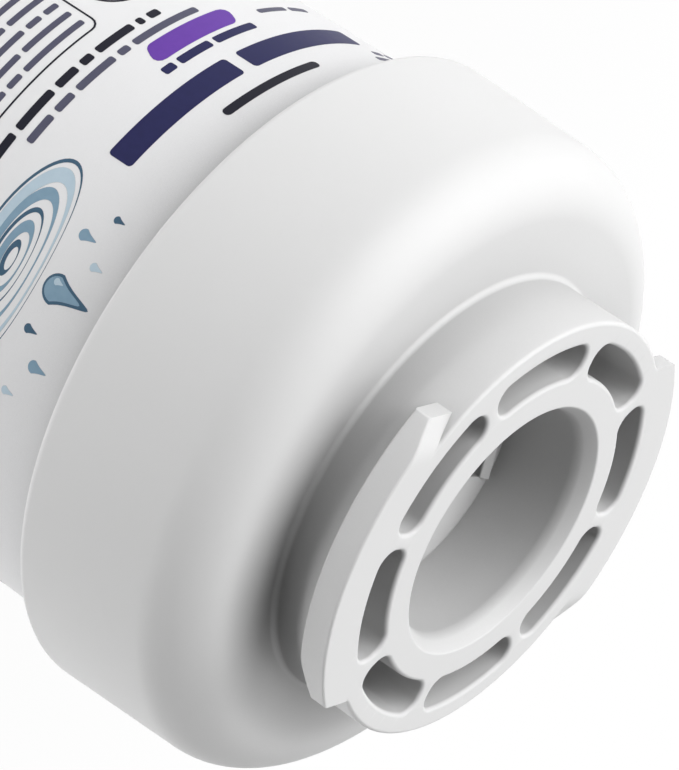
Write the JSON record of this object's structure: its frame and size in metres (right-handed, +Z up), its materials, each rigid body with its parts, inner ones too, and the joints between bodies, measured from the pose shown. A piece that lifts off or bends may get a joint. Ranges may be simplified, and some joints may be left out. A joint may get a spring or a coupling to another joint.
{
  "type": "fridge water filter cartridge",
  "caption": "Upright round filter cartridge with a wider head, a bayonet neck with opposite lugs, arc slots and a centre bore, over a labelled cup with a carbon block inside.",
  "frame": {"origin": "centre of the closed end, where the cartridge stands", "axes": "+Z up the cartridge's axis to the neck's face, +X through the middle of one bayonet lug"},
  "size_m": [0.082, 0.082, 0.166],
  "materials": {
    "head_plastic": "satin white injection-moulded polypropylene",
    "sump_plastic": "satin white injection-moulded polypropylene",
    "label_film": "printed white polypropylene film",
    "carbon": "pressed activated carbon",
    "nonwoven": "white nonwoven polypropylene",
    "inner_plastic": "natural moulded polypropylene",
    "seal_rubber": "black EPDM rubber"
  },
  "bodies": {
    "root": {"head_cap": "head_plastic", "sump_shell": "sump_plastic", "body_label": "label_film", "carbon_block": "carbon", "prefilter_wrap": "nonwoven", "core_tube": "inner_plastic", "top_end_cap": "inner_plastic", "bottom_end_cap": "inner_plastic", "spigot_o_ring_lower": "seal_rubber", "spigot_o_ring_upper": "seal_rubber"}
  },
  "joints": []
}
